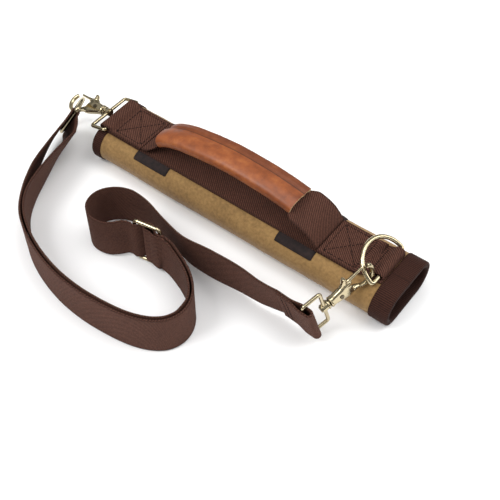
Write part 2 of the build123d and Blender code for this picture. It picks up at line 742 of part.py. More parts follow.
def strap_slider():
    """Wire rectangle with a middle bar."""
    plane = Plane(origin=SLIDE_CENTRE, x_dir=SLIDE_RUN, z_dir=cross(SLIDE_RUN, UP))
    corners = [
        (-SLIDER_HALF_L, -SLIDER_HALF_H), (SLIDER_HALF_L, -SLIDER_HALF_H),
        (SLIDER_HALF_L, SLIDER_HALF_H), (-SLIDER_HALF_L, SLIDER_HALF_H),
    ]
    wire_start = plane.from_local_coords((-SLIDER_HALF_L + SLIDER_BEND, -SLIDER_HALF_H, 0))
    bar_start = plane.from_local_coords((0, -SLIDER_HALF_H, 0))
    with BuildPart() as slider:
        with BuildLine(plane):
            rounded_loop(corners, SLIDER_BEND)
        with BuildSketch(Plane(origin=wire_start, z_dir=SLIDE_RUN)):
            Circle(SLIDER_WIRE_R)
        sweep()
        with BuildSketch(Plane(origin=bar_start, z_dir=UP)):
            Circle(SLIDER_BAR_R)
        extrude(amount=2 * SLIDER_HALF_H)
    return slider.part


# ---------------------------------------------------------------- build and save
def save(piece, name):
    piece.label = name
    export_step(piece, "parts/" + name + ".step")


save(canvas_shell(), "canvas_shell")
save(sleeve_layer(STIFF_INSET, STIFF_T, STIFF_SHORT), "foam_stiffener")
save(sleeve_layer(LINING_INSET, LINING_T, 0.0), "sleeve_lining")
save(binding(TAIL_X, TAIL_BIND_W, inward=1), "tail_binding")
save(binding(MOUTH_X, MOUTH_BIND_W, inward=-1), "mouth_binding")

save(base_webbing(), "base_webbing")
save(patch_pair(TAIL_PATCH_X), "tail_anchor_patch")
save(patch_pair(MOUTH_PATCH_X), "mouth_anchor_patch")
save(ribbon_part(TAIL_ANCHOR_PATH, WEB_W), "tail_anchor_webbing")
save(mouth_anchor(), "mouth_anchor_webbing")
save(box_stitch(-130.0, UPPER_Z), "tail_box_stitching")
save(box_stitch(77.0, LOWER_Z), "mouth_box_stitching")

tail_trim = (GRIP_X0 - LEG_GAP, Keep.BOTTOM)
mouth_trim = (GRIP_X1 + LEG_GAP, Keep.TOP)
grip_trims = ((GRIP_X0, Keep.TOP), (GRIP_X1, Keep.BOTTOM))
save(ribbon_part(TAIL_LEG_PATH, WEB_W, [tail_trim]), "handle_tail_leg")
save(ribbon_part(MOUTH_LEG_PATH, WEB_W, [mouth_trim]), "handle_mouth_leg")
save(ribbon_part(GRIP_PATH, FOLDED_W, grip_trims), "handle_webbing")
save(grip_padding(), "grip_padding")
save(leather_grip(), "leather_grip")

save(d_ring(MOUTH_RING, Y_DIR, MOUTH_RING_REACH), "mouth_d_ring")
save(d_ring(STRAP_RING, STRAP_RING_BAR, STRAP_RING_REACH), "strap_d_ring")
for hook, origin, axis, normal, bar in (
    ("tail", TAIL_HOOK, TAIL_AXIS, TAIL_NORMAL, Y_DIR),
    ("strap", STRAP_HOOK, STRAP_AXIS, STRAP_NORMAL, STRAP_BAR),
):
    save(hook_eye(origin, axis, bar), hook + "_hook_eye")
    save(hook_body(origin, axis, normal), hook + "_hook_body")
    save(hook_gate(origin, axis, normal), hook + "_hook_gate")
    save(hook_pin(origin, axis, normal), hook + "_hook_pin")
    save(hook_spring(origin, axis, normal), hook + "_hook_spring")

save(shoulder_strap(), "shoulder_strap")
save(strap_slider(), "strap_slider")
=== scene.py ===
"""A padded canvas sleeve with a leather-wrapped carrying handle and a webbing shoulder strap.

The sleeve is a flattened tube lying along x on the floor (z = 0). Its tail is at -x and its
mouth at +x, and the handle arches over its top. The strap lies on the -y side, clipped to the
mouth hook at one end and looped through its D-ring, beyond the tail, at the other.
All lengths are in millimetres until they reach Blender.
"""
import bmesh
import bpy
import math
from mathutils import Vector, Matrix, noise


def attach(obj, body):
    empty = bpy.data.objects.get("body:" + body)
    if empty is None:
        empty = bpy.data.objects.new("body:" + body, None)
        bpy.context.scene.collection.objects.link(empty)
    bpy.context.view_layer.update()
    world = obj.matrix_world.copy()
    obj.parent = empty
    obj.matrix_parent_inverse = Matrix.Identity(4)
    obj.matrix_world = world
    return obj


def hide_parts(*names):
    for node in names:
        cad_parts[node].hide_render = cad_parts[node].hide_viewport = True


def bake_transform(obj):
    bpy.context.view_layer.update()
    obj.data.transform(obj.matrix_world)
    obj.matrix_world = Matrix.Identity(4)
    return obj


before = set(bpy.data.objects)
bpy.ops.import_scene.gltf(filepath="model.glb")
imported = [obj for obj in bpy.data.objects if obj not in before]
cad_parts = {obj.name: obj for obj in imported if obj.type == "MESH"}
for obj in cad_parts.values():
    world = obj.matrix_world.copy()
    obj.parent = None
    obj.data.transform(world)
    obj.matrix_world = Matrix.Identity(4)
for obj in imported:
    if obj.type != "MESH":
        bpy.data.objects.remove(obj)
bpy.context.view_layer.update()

MM = 0.001          # metres in a millimetre
UV_UNIT = 100.0     # millimetres in one unit of UV
UP = (0.0, 0.0, 1.0)


# ---------------------------------------------------------------- vectors and curves
def add(start, step, times=1.0):
    return tuple(start[i] + times * step[i] for i in range(3))


def dot(first, second):
    return first[0] * second[0] + first[1] * second[1] + first[2] * second[2]


def cross(first, second):
    return (first[1] * second[2] - first[2] * second[1],
            first[2] * second[0] - first[0] * second[2],
            first[0] * second[1] - first[1] * second[0])


def unit(vector):
    size = math.sqrt(dot(vector, vector)) or 1.0
    return (vector[0] / size, vector[1] / size, vector[2] / size)


def square(vector, axis):
    """Unit vector nearest to vector at right angles to axis."""
    axis = unit(axis)
    return unit(add(vector, axis, -dot(vector, axis)))


def clamp01(value):
    return max(0.0, min(1.0, value))


def signed_power(value, power):
    return math.copysign(abs(value) ** power, value)


def wobble(x, y, z):
    return noise.noise(Vector((x, y, z)))


def smooth(points, step=7.0):
    """Catmull-Rom curve through the points; columns after x, y, z are carried along."""
    out = []
    last = len(points) - 1
    for i in range(last):
        start, end = points[i], points[i + 1]
        before, after = points[max(i - 1, 0)], points[min(i + 2, last)]
        count = max(1, int(math.dist(start[:3], end[:3]) / step + 0.5))
        for k in range(count):
            t = k / count
            out.append(tuple(
                0.5 * (2 * b + (c - a) * t + (2 * a - 5 * b + 4 * c - d) * t * t
                       + (3 * b - a - 3 * c + d) * t ** 3)
                for a, b, c, d in zip(before, start, end, after)))
    out.append(tuple(points[-1]))
    return out


# ---------------------------------------------------------------- faces and meshes
def side_faces(rings, size, base=0):
    """Quads between successive closed rings of vertices."""
    faces = []
    for i in range(rings - 1):
        for j in range(size):
            here, beside = base + i * size + j, base + i * size + (j + 1) % size
            faces.append((here, beside, beside + size, here + size))
    return faces


def tube_faces(rings, size, base=0):
    """Sides and two end caps of a solid tube."""
    end = base + (rings - 1) * size
    return side_faces(rings, size, base) + [tuple(range(base + size - 1, base - 1, -1)),
                                            tuple(range(end, end + size))]


def walled_faces(rings, size):
    """Faces of an open tube whose stations hold an outer ring, then an inner ring."""
    faces = []
    stride = 2 * size
    for i in range(rings - 1):
        for j in range(size):
            here, beside = i * stride + j, i * stride + (j + 1) % size
            faces.append((here, beside, beside + stride, here + stride))
            here, beside = here + size, beside + size
            faces.append((beside, here, here + stride, beside + stride))
    for base in (0, (rings - 1) * stride):
        for j in range(size):
            here, beside = base + j, base + (j + 1) % size
            faces.append((here, beside, beside + size, here + size))
    return faces


def make(name, verts, faces, body, mat, node=None, uvs=None, face_mats=None,
         sharp=None):
    """Smooth-shaded object; uvs holds one pair per vertex, in mm; mat may be a tuple."""
    mesh = bpy.data.meshes.new(name)
    mesh.from_pydata([(v[0] * MM, v[1] * MM, v[2] * MM) for v in verts], [], faces)
    if uvs:
        layer = mesh.uv_layers.new(name="UVMap")
        for loop in mesh.loops:
            along, around = uvs[loop.vertex_index]
            layer.data[loop.index].uv = (along / UV_UNIT, around / UV_UNIT)
    for material in (mat if isinstance(mat, tuple) else (mat,)):
        mesh.materials.append(material)
    if face_mats:
        for polygon, index in zip(mesh.polygons, face_mats):
            polygon.material_index = index
    shell = bmesh.new()
    shell.from_mesh(mesh)
    bmesh.ops.recalc_face_normals(shell, faces=shell.faces)
    shell.to_mesh(mesh)
    shell.free()
    mesh.polygons.foreach_set("use_smooth", [True] * len(mesh.polygons))
    if sharp:
        mesh.set_sharp_from_angle(angle=math.radians(sharp))
    obj = bpy.data.objects.new(name, mesh)
    bpy.context.scene.collection.objects.link(obj)
    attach(obj, body)
    if node:
        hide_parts(node)
    return obj


SELVEDGE_RISE = 0.12    # extra thickness at the selvedge, as a part of half the thickness
SELVEDGE_WIDTH = 2.2
EDGE_POINTS = 3         # points round each rounded edge of a strip


def strip_section(width, thick, columns):
    """Closed outline (across, normal) of a strip of webbing with soft selvedges."""
    half_thick, half_width = thick / 2, width / 2
    top = []
    for i in range(columns + 1):
        across = -half_width + half_thick + (width - 2 * half_thick) * i / columns
        inset = (half_width - abs(across)) / SELVEDGE_WIDTH
        top.append((across, half_thick + SELVEDGE_RISE * half_thick * max(0.0, 1 - inset)))
    right = []
    for k in range(1, EDGE_POINTS + 1):
        angle = math.radians(90 - 180 * k / (EDGE_POINTS + 1))
        right.append((half_width - half_thick + half_thick * math.cos(angle),
                      half_thick * math.sin(angle)))
    bottom = [(across, -normal) for across, normal in reversed(top)]
    left = [(-across, normal) for across, normal in reversed(right)]
    return top + right + bottom + left


def ribbon(name, stations, width, thick, body, mat, node, columns, ripple=0.0,
           widths=None, tip=0.0):
    """Strip along stations (x, y, z, then its width direction); tip makes the ends ragged."""
    verts, uvs = [], []
    length = 0.0
    last = len(stations) - 1
    for i, station in enumerate(stations):
        centre = station[:3]
        run = unit(add(stations[min(i + 1, last)][:3], stations[max(i - 1, 0)][:3], -1.0))
        width_dir = square(station[3:], run)
        normal_dir = cross(run, width_dir)
        if i:
            length += math.dist(centre, stations[i - 1][:3])
        section = strip_section(widths[i] if widths else width, thick, columns)
        for across, normal in section:
            wave = ripple * (wobble(length * 0.05, across * 0.06, 3.1)
                             + 0.4 * wobble(length * 0.16, across * 0.12, 7.7))
            fray = tip * wobble(across * 0.4, i * 1.3, 1.0) if tip and i in (0, last) else 0.0
            point = add(add(centre, width_dir, across), normal_dir, normal + wave)
            verts.append(add(point, run, fray))
            uvs.append((length, across))
    size = len(section)
    faces = side_faces(last + 1, size)
    bottom_start = columns + 1 + EDGE_POINTS
    bottom_end = bottom_start + columns
    for base in (0, last * size):
        # end cap: quads between the top and bottom rows, then the two rounded edges
        for j in range(columns):
            under = base + bottom_end - j
            faces.append((base + j, base + j + 1, under - 1, under))
        faces.append(tuple(range(base + columns, base + bottom_start + 1)))
        faces.append((base,) + tuple(range(base + bottom_end, base + size)))
    return make(name, verts, faces, body, mat, node, uvs)


# ---------------------------------------------------------------- shader building
class Signal:
    """A socket's output; arithmetic on it adds math nodes."""

    def __init__(self, shader, socket):
        self.shader = shader
        self.socket = socket

    def __add__(self, other):
        return self.shader.math("ADD", self, other)

    def __sub__(self, other):
        return self.shader.math("SUBTRACT", self, other)

    def __rsub__(self, other):
        return self.shader.math("SUBTRACT", other, self)

    def __mul__(self, other):
        return self.shader.math("MULTIPLY", self, other)

    def sine(self):
        return self.shader.math("SINE", self)

    def absolute(self):
        return self.shader.math("ABSOLUTE", self)


class Shader:
    """Short calls for adding nodes to a tree; colours are given as (r, g, b)."""

    def __init__(self, tree):
        self.tree = tree

    def fill(self, node, inputs):
        """Link or set each input; inputs maps socket names or numbers to values."""
        for key, value in inputs.items():
            socket = node.inputs[key]
            if isinstance(value, Signal):
                self.tree.links.new(value.socket, socket)
            else:
                socket.default_value = (*value, 1.0) if socket.type == "RGBA" else value

    def node(self, kind, inputs, **settings):
        node = self.tree.nodes.new(kind)
        for key, value in settings.items():
            setattr(node, key, value)
        self.fill(node, inputs)
        return node

    def signal(self, node, key=0):
        return Signal(self, node.outputs[key])

    def math(self, operation, *operands):
        return self.signal(self.node("ShaderNodeMath", dict(enumerate(operands)),
                                     operation=operation))

    def coordinates(self, *kinds):
        node = self.node("ShaderNodeTexCoord", {})
        return [self.signal(node, kind) for kind in kinds]

    def split(self, vector):
        node = self.node("ShaderNodeSeparateXYZ", {0: vector})
        return [self.signal(node, i) for i in range(3)]

    def noise(self, vector, scale, detail=4.0, rough=0.55):
        return self.signal(self.node("ShaderNodeTexNoise", {
            "Scale": scale, "Detail": detail, "Roughness": rough, "Vector": vector}))

    def ramp(self, factor, stops):
        node = self.node("ShaderNodeValToRGB", {0: factor})
        elements = node.color_ramp.elements
        while len(elements) < len(stops):
            elements.new(0.5)
        for element, (position, colour) in zip(elements, stops):
            element.position = position
            element.color = (*colour, 1.0)
        return self.signal(node)

    def mix(self, factor, first, second):
        node = self.node("ShaderNodeMix", {}, data_type="RGBA")
        self.fill(node, {0: factor, 6: first, 7: second})
        return self.signal(node, 2)

    def surface(self, **inputs):
        """Set the Principled BSDF; Base_Color stands for "Base Color", and so on."""
        self.fill(self.tree.nodes["Principled BSDF"],
                  {key.replace("_", " "): value for key, value in inputs.items()})

    def bump(self, height, strength, distance):
        node = self.node("ShaderNodeBump", {
            "Strength": strength, "Distance": distance, "Height": height})
        self.surface(Normal=self.signal(node))


def new_material(name):
    material = bpy.data.materials.new(name)
    material.use_nodes = True
    return material, Shader(material.node_tree)


def tint(colour, factor, lift=0.0):
    return tuple(channel * factor + lift for channel in colour)


# ---------------------------------------------------------------- materials
TURN = 2 * math.pi
GREY_0, GREY_1 = (0, 0, 0), (1, 1, 1)


def webbing_mat(name, dark, light, pitch, slope, rough, strength):
    """Twill: diagonal ribs pitch mm apart, crossed by fine yarns."""
    material, shader = new_material(name)
    place, uv = shader.coordinates("Object", "UV")
    along, across, _ = shader.split(uv)
    along, across = along * UV_UNIT, across * UV_UNIT
    rib = ((along * (1.0 / pitch) + across * (slope / pitch)) * TURN).sine()
    yarn = ((along * -0.30 + across * (1.0 / 0.95)) * TURN).sine()
    weave = rib * 0.36 + yarn * 0.20 + 0.5
    # the outermost part of a full-width strip is a darker plain selvedge
    edge = shader.math("GREATER_THAN", across.absolute(), 17.4)
    blotch = shader.noise(place, scale=38.0, detail=3.0)
    fuzz = shader.noise(place, scale=900.0, detail=2.0)
    colour = shader.ramp(weave * 0.85 + (fuzz - 0.5) * 0.75, [(0.12, dark), (0.85, light)])
    colour = shader.mix(blotch * 0.35, colour, tint(dark, 0.72))
    colour = shader.mix(edge * 0.45, colour, tint(dark, 0.8))
    shader.surface(Base_Color=colour, Roughness=rough, Specular_IOR_Level=0.18,
                   Sheen_Weight=0.05, Sheen_Roughness=0.45, Sheen_Tint=tint(light, 1.6))
    shader.bump(weave + fuzz * 0.35, strength=strength, distance=0.00035)
    return material


def canvas_mat(name, dark, mid, light, pitch):
    """Plain weave with slubs and broad mottling."""
    material, shader = new_material(name)
    place, uv = shader.coordinates("Object", "UV")
    along, around, _ = shader.split(uv)
    warp = (along * UV_UNIT * (TURN / pitch)).sine()
    weft = (around * UV_UNIT * (TURN / pitch)).sine()
    weave = warp * weft * 0.5 + 0.5
    slub = shader.noise(place, scale=420.0, detail=3.0)
    blotch = shader.noise(place, scale=26.0)
    shade = weave * 0.34 + slub * 0.5 + (blotch - 0.5) * 0.5
    shader.surface(Base_Color=shader.ramp(shade, [(0.1, dark), (0.42, mid), (0.85, light)]),
                   Roughness=0.82, Sheen_Weight=0.12, Sheen_Roughness=0.5)
    shader.bump(weave + slub * 0.8, strength=0.5, distance=0.00025)
    return material


def leather_mat(name, deep, mid, light, rough, grain, wear, lap=None):
    """Mottled, scuffed leather; lap is the UV height in mm of the overlap, where a painted shadow
    line runs along the crease and the wrap below that height is made darker.
    """
    material, shader = new_material(name)
    place, = shader.coordinates("Object")
    blotch = shader.noise(place, scale=30.0, detail=5.0, rough=0.6)
    mottle = shader.noise(place, scale=120.0, rough=0.6)
    cells = shader.node("ShaderNodeTexVoronoi", {"Scale": grain, "Vector": place})
    # scuffs are drawn out along x
    stretched = shader.node("ShaderNodeMapping", {"Scale": (0.35, 2.2, 2.2), "Vector": place})
    scuff = shader.noise(shader.signal(stretched), scale=210.0, detail=6.0, rough=0.75)
    colour = shader.ramp(blotch * 0.65 + mottle * 0.4, [(0.3, deep), (0.55, mid), (0.78, light)])
    scuffed = shader.ramp(scuff, [(0.66, GREY_0), (0.76, GREY_1)])
    worn = tuple(min(1.0, channel) for channel in tint(light, 1.45, 0.03))
    colour = shader.mix(scuffed * (wear * 0.6), colour, worn)
    if lap:
        uv, = shader.coordinates("UV")
        around = shader.split(uv)[1] * UV_UNIT
        # the part of the wrap with around below lap, beside the overlap on the +y side, is made
        # darker
        under = shader.math("LESS_THAN", around, lap)
        colour = shader.mix(under * 0.5, colour, tint(deep, 0.75))
        # painted shadow: a near-black line along the crease where the leather overlaps
        crease_shadow = shader.math("MAXIMUM", 1.0 - (around - lap).absolute() * 1.1, 0.0)
        colour = shader.mix(crease_shadow * 0.92, colour, (0.010, 0.004, 0.002))
    shader.surface(Base_Color=colour, Roughness=mottle * 0.22 + (rough - 0.1),
                   Coat_Weight=0.10, Coat_Roughness=0.3)
    shader.bump(shader.signal(cells, "Distance") * 0.6 + mottle * 0.8,
                strength=0.35, distance=0.0004)
    return material


def metal_mat(name, base, dark, rough):
    """Worn metal; dark is the painted shade colour that an ambient occlusion mask puts in its
    crevices.
    """
    material, shader = new_material(name)
    place, = shader.coordinates("Object")
    blotch = shader.noise(place, scale=90.0)
    fine = shader.noise(place, scale=700.0, detail=3.0)
    # painted shade: the colour turns to dark where ambient occlusion finds a crevice
    occlusion = shader.node("ShaderNodeAmbientOcclusion", {"Distance": 0.0035}, samples=6)
    unshaded = shader.ramp(shader.signal(occlusion, "AO"), [(0.25, GREY_0), (0.8, GREY_1)])
    colour = shader.mix(blotch * 0.45, base, tint(base, 0.86))
    shader.surface(Base_Color=shader.mix(unshaded, dark, colour), Metallic=1.0,
                   Roughness=fine * 0.16 + (rough - 0.06))
    shader.bump(fine, strength=0.08, distance=0.0002)
    return material


def plain_mat(name, low, high, rough, scale, strength=0.25):
    material, shader = new_material(name)
    place, = shader.coordinates("Object")
    grain = shader.noise(place, scale=scale)
    shader.surface(Base_Color=shader.ramp(grain, [(0.35, low), (0.65, high)]), Roughness=rough)
    shader.bump(grain, strength=strength, distance=0.0004)
    return material


CANVAS = canvas_mat("canvas_weave", dark=(0.090, 0.046, 0.013), mid=(0.250, 0.140, 0.042),
                    light=(0.43, 0.262, 0.095), pitch=1.05)
LINING = canvas_mat("lining_weave", dark=(0.006, 0.008, 0.006), mid=(0.012, 0.016, 0.013),
                    light=(0.03, 0.036, 0.03), pitch=0.6)
FOAM = plain_mat("closed_cell_foam", low=(0.02, 0.02, 0.02), high=(0.05, 0.05, 0.05),
                 rough=0.9, scale=900.0)
ROLL = plain_mat("soft_foam_roll", low=(0.5, 0.46, 0.36), high=(0.62, 0.58, 0.47),
                 rough=0.9, scale=700.0)
BINDING = webbing_mat("edge_tape", dark=(0.013, 0.004, 0.0025), light=(0.068, 0.024, 0.015),
                      pitch=1.5, slope=0.0, rough=0.85, strength=0.6)
WEBBING = webbing_mat("webbing_twill", dark=(0.022, 0.0078, 0.0048),
                      light=(0.150, 0.062, 0.041),
                      pitch=2.3, slope=1.15, rough=0.85, strength=0.9)
STRAP = webbing_mat("strap_twill", dark=(0.030, 0.0108, 0.0068), light=(0.178, 0.078, 0.053),
                    pitch=2.1, slope=1.3, rough=0.85, strength=0.9)
PATCH = plain_mat("reinforcement_patch", low=(0.007, 0.0025, 0.002),
                  high=(0.018, 0.007, 0.006), rough=0.85, scale=300.0, strength=0.5)
LEATHER = leather_mat("waxed_leather", deep=(0.125, 0.027, 0.006), mid=(0.255, 0.064, 0.012),
                      light=(0.41, 0.132, 0.028), rough=0.5, grain=520.0, wear=0.55, lap=11.6)
RAW_EDGE = leather_mat("raw_leather_edge", deep=(0.45, 0.27, 0.13), mid=(0.62, 0.42, 0.22),
                       light=(0.75, 0.55, 0.32), rough=0.8, grain=900.0, wear=0.2)
THREAD = webbing_mat("bonded_thread", dark=(0.006, 0.002, 0.0015), light=(0.020, 0.007, 0.005),
                     pitch=0.5, slope=1.0, rough=0.7, strength=0.3)
# each metal's dark colour is painted shade for its crevices
BRASS = metal_mat("antique_brass", base=(0.60, 0.51, 0.33), dark=(0.05, 0.038, 0.02), rough=0.2)
PIN = metal_mat("dark_rivet", base=(0.16, 0.13, 0.09), dark=(0.02, 0.015, 0.01), rough=0.38)
STEEL = metal_mat("spring_steel", base=(0.55, 0.55, 0.52), dark=(0.1, 0.1, 0.09), rough=0.3)

# CAD pieces that are kept and only painted
PAINTED = {
    BRASS: ("mouth_d_ring", "strap_d_ring", "strap_slider", "tail_hook_eye", "strap_hook_eye"),
    PIN: ("tail_hook_pin", "strap_hook_pin"),
    STEEL: ("tail_hook_spring", "strap_hook_spring"),
}
for material, node_names in PAINTED.items():
    for node_name in node_names:
        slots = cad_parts[node_name].data.materials
        slots.clear()
        slots.append(material)

# ---------------------------------------------------------------- sleeve
HALF_WIDTH, HALF_HEIGHT, CENTRE_Z = 30.0, 14.5, 15.5    # canvas outside
FLAT_HALF = HALF_WIDTH - HALF_HEIGHT                    # half the flat part of top and bottom
TAIL_X, MOUTH_X = -145.0, 143.0


def stadium(half_width, half_height, arc_count=20, flat_count=14):
    """Closed loop (y, z, arc length) from the middle of the top, setting off towards +y."""
    flat = half_width - half_height
    half_count = flat_count // 2
    top, bottom = CENTRE_Z + half_height, CENTRE_Z - half_height

    def arc(side, start):
        angles = [math.radians(start - 180 * i / arc_count) for i in range(arc_count)]
        return [(side * flat + half_height * math.cos(angle),
                 CENTRE_Z + half_height * math.sin(angle)) for angle in angles]

    points = [(flat * i / half_count, top) for i in range(half_count)]
    points += arc(1, 90)
    points += [(flat - 2 * flat * i / flat_count, bottom) for i in range(flat_count)]
    points += arc(-1, 270)
    points += [(-flat + flat * i / half_count, top) for i in range(half_count)]
    out, length = [], 0.0
    for i, point in enumerate(points):
        if i:
            length += math.dist(point, points[i - 1])
        out.append((point[0], point[1], length))
    return out


def sleeve_layer(name, mat, node, inset, thick, trim, amp, step, seed=0.0):
    """One cloth or foam tube, its outer face inset from the canvas's outside."""
    start, end = TAIL_X + trim, MOUTH_X - trim
    loops = [stadium(HALF_WIDTH - depth, HALF_HEIGHT - depth) for depth in (inset, inset + thick)]
    count = max(2, int((end - start) / step))
    verts, uvs = [], []
    for i in range(count + 1):
        x = start + (end - start) * i / count
        fade = min(1.0, (x - start) / 25.0 + 0.15, (end - x) / 25.0 + 0.15)
        for loop in loops:
            for y, z, length in loop:
                out_y, out_z = y, (z - CENTRE_Z) * 2.0
                size = math.hypot(out_y, out_z) or 1.0
                swell = amp * fade * (
                    wobble(x * 0.022, length * 0.03 + seed, seed) * 1.2
                    + 0.35 * wobble(x * 0.09, length * 0.07, seed + 4.0))
                if z < 2.5:     # the underside stays off the floor
                    swell = min(swell, 0.25 * amp)
                verts.append((x, y + out_y / size * swell, z + out_z / size * swell))
                uvs.append((x, length))
    make(name, verts, walled_faces(count + 1, len(loops[0])), "carrier", mat, node,
         uvs, sharp=50)


sleeve_layer("canvas_shell_cloth", CANVAS, "canvas_shell",
             inset=0.0, thick=1.0, trim=0.0, amp=0.42, step=3.0)
sleeve_layer("foam_stiffener_sheet", FOAM, "foam_stiffener",
             inset=1.45, thick=1.0, trim=0.6, amp=0.1, step=12.0)
sleeve_layer("sleeve_lining_cloth", LINING, "sleeve_lining",
             inset=2.75, thick=0.55, trim=0.1, amp=0.35, step=5.0, seed=9.0)


def edge_tape(name, edge_x, inward, width, node):
    """Tape folded over a sleeve end; inward is +1 if the sleeve lies to +x of the edge."""
    loop = stadium(HALF_WIDTH, HALF_HEIGHT, arc_count=26, flat_count=20)
    # closed profile: distance in from the edge, height above the canvas's outside
    profile = [
        (width, 0.12), (width + 0.15, 0.5), (width - 0.2, 0.95), (width - 1.6, 1.03),
        (width - 2.4, 0.82), (width - 3.4, 1.04), (width * 0.45, 1.06), (1.6, 1.08),
        (0.2, 1.02), (-0.62, 0.5), (-0.95, -0.6), (-1.0, -1.7), (-0.95, -2.7), (-0.6, -3.6),
        (0.3, -4.1), (1.8, -4.25), (width * 0.55, -4.2), (width - 0.6, -4.1),
        (width - 0.3, -3.8), (width - 0.6, -3.5), (2.0, -3.42), (0.15, -3.3),
        (-0.05, -2.2), (-0.05, -1.0), (0.15, 0.04), (2.0, 0.08)]
    verts, uvs, faces = [], [], []
    for y, z, length in loop:
        core_y = max(-FLAT_HALF, min(FLAT_HALF, y))
        radius = math.hypot(y - core_y, z - CENTRE_Z)
        out_y, out_z = (y - core_y) / radius, (z - CENTRE_Z) / radius
        pucker = 0.10 * math.sin(length * 2 * math.pi / 3.0)
        around = 0.0
        for i, (inset, height) in enumerate(profile):
            if i:
                around += math.dist(profile[i], profile[i - 1])
            wave = 0.16 * wobble(length * 0.11, inset * 0.1, 2.0)
            rise = height
            if height > 0.7 and inset > width - 3.6:
                rise += pucker * 0.35
            if height > 0.3:
                rise += wave * 0.5
                if z < 3.0:     # never sinks below the floor
                    rise = min(rise, 1.0)
            x = edge_x + inward * (inset + (wave if inset > width - 1.0 else 0.0))
            verts.append((x, core_y + out_y * (radius + rise),
                          CENTRE_Z + out_z * (radius + rise)))
            uvs.append((length, around))
    size = len(profile)
    for j in range(len(loop)):
        here, there = j * size, (j + 1) % len(loop) * size
        for i in range(size):
            beside = (i + 1) % size
            faces.append((here + i, here + beside, there + beside, there + i))
    make(name, verts, faces, "carrier", BINDING, node, uvs)


edge_tape("tail_edge_tape", TAIL_X, inward=1, width=8.0, node="tail_binding")
edge_tape("mouth_edge_tape", MOUTH_X, inward=-1, width=15.0, node="mouth_binding")

# ---------------------------------------------------------------- webbing on the sleeve
WEB_WIDTH, WEB_THICK = 38.0, 1.3
HALF_WEB = WEB_WIDTH / 2
BASE_TOP = 31.35                                # top of the base webbing
WEB_GAP = 0.05
LOWER_Z = BASE_TOP + WEB_GAP + WEB_THICK / 2    # middle of the first layer above it
UPPER_Z = LOWER_Z + WEB_THICK + WEB_GAP         # middle of the second layer
TAIL_EYE = (-138.0, 0.0, BASE_TOP + WEB_GAP + WEB_THICK + 0.1 + 1.5)


def flat(path):
    """Stations for a strip over an (x, z) path, its width along y."""
    return [(x, 0.0, z, 0.0, 1.0, 0.0) for x, z in path]


def web_strip(name, stations, node, ripple, widths=None):
    return ribbon(name, stations, WEB_WIDTH, WEB_THICK, "carrier", WEBBING, node,
                  columns=14, ripple=ripple, widths=widths)


def cut_back(stations, first, second):
    """Trim the -y edge beside the mouth hook, to first and then second mm from the middle."""
    out = []
    for x, _, *rest in stations:
        edge = (-HALF_WEB + clamp01((x - 105.5) / 1.5) * (HALF_WEB - first)
                + clamp01((x - 115.2) / 1.5) * (first - second))
        out.append((x, (HALF_WEB + edge) / 2, *rest))
    return out, [2 * (HALF_WEB - station[1]) for station in out]


def base_webbing():
    start, end, step, height = -136.4, 127.6, 3.0, 30.72
    path = []
    x = start
    while x < end:
        path.append((x, height + 0.1 * wobble(x * 0.05, 1.0, 2.0)))
        x += step
    path.append((end, height))
    stations, widths = cut_back(flat(path), 15.2, 15.2)
    web_strip("base_webbing_strip", stations, "base_webbing", ripple=0.12, widths=widths)


def tail_anchor():
    """Strip folded back over itself round the tail hook's eye."""
    eye_z = TAIL_EYE[2]
    radius = eye_z - LOWER_Z
    path = [(x, LOWER_Z) for x in (-101.0, -110.0, -122.0, -136.0)]
    for degrees in range(0, 181, 20):
        angle = math.radians(degrees)
        path.append((-141.6 - radius * math.sin(angle), eye_z - radius * math.cos(angle)))
    path += [(-141.0, eye_z + radius), (-136.0, eye_z + radius),
             (-134.6, eye_z + radius - 0.35), (-132.2, UPPER_Z + 0.35)]
    path += [(x, UPPER_Z) for x in (-130.8, -122.0, -110.0, -100.5)]
    web_strip("tail_anchor_strip", smooth(flat(path), 1.6), "tail_anchor_webbing", ripple=0.10)


def mouth_anchor():
    """Strip that humps over the mouth D-ring."""
    ring_z = BASE_TOP + 0.15 + 1.8
    path = [(x, LOWER_Z) for x in (73.0, 85.0, 100.0, 112.0, 116.6)]
    path += [(118.4, LOWER_Z + 0.5), (120.6, ring_z + 1.55), (122.2, ring_z + 2.45),
             (123.6, ring_z + 2.7), (125.0, ring_z + 2.45), (126.4, ring_z + 1.3),
             (127.0, LOWER_Z + 0.2)]
    stations, widths = cut_back(smooth(flat(path), 1.5), 14.3, 12.3)
    web_strip("mouth_anchor_strip", stations, "mouth_anchor_webbing", ripple=0.08,
              widths=widths)


base_webbing()
tail_anchor()
mouth_anchor()

# ---------------------------------------------------------------- handle
HANDLE_Z = UPPER_Z + 0.25
# x, height above HANDLE_Z
ARCH_POINTS = [
    (-99.5, 0.0), (-96.2, 0.7), (-91.2, 3.3), (-84.9, 7.2), (-77.0, 11.7), (-60.0, 17.0),
    (-25.0, 21.3), (10.0, 20.6), (32.0, 17.8), (45.5, 15.2), (56.0, 12.6), (63.5, 8.8),
    (68.6, 4.0), (71.2, 0.9), (72.6, -0.5)]
ARCH = [point[:2] for point in smooth([(x, HANDLE_Z + z, 0.0) for x, z in ARCH_POINTS], 2.0)]


def arch_between(start, end):
    return [point for point in ARCH if start < point[0] < end]


def handle_leg(name, path, widths, node):
    """Leg from the carrier at start to the grip at end, its placement baked in and its parent
    cleared.
    """
    leg = web_strip(name, flat(path), node, ripple=0.25, widths=widths)
    leg.parent = None
    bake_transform(leg)


